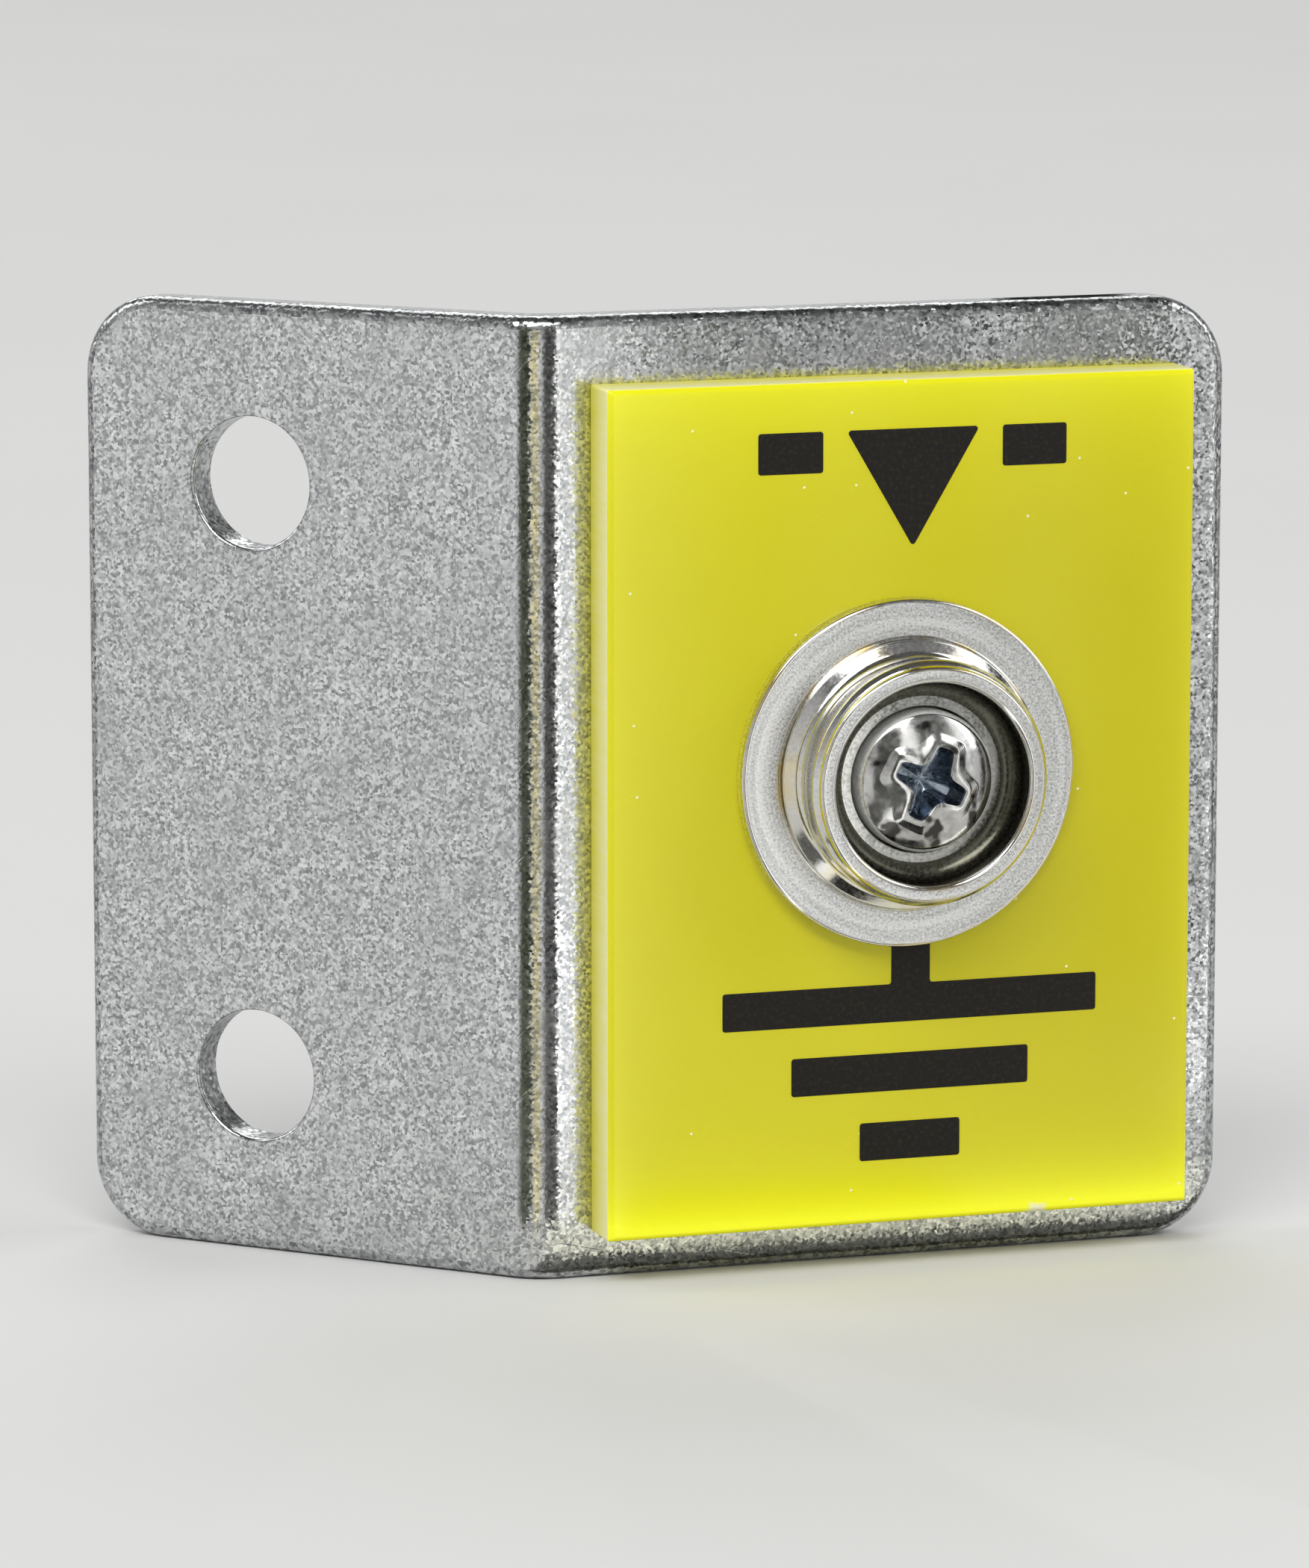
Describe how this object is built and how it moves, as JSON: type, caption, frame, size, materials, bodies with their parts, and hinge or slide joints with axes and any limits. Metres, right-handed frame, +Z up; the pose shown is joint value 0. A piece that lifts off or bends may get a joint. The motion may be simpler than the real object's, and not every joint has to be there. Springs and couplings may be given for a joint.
{
  "type": "esd connection point",
  "caption": "Bent zinc-plated steel bracket with a yellow plastic label plate and a screwed-on snap stud, for bonding a wrist strap to a rack frame.",
  "frame": {"origin": "middle of the two fixing holes, on the flange's outer face", "axes": "-Y out of the flange's outer face, +X from the flange towards the bend and the plate, +Z up along the bend"},
  "size_m": [0.0425, 0.0224, 0.04],
  "materials": {
    "zinc_plate": "bright zinc plate with fine scratches",
    "yellow_plastic": "glossy extruded sheet with sawn edges",
    "nickel_plate": "polished nickel plate, foot grained",
    "screw_steel": "polished plated screw",
    "spring_steel": "dull zinc plate",
    "nut_steel": "zinc plate"
  },
  "bodies": {
    "root": {"mounting_bracket": "zinc_plate", "label_plate": "yellow_plastic", "snap_stud": "nickel_plate", "stud_screw": "screw_steel", "lock_washer": "spring_steel", "hex_nut": "nut_steel"}
  },
  "joints": []
}
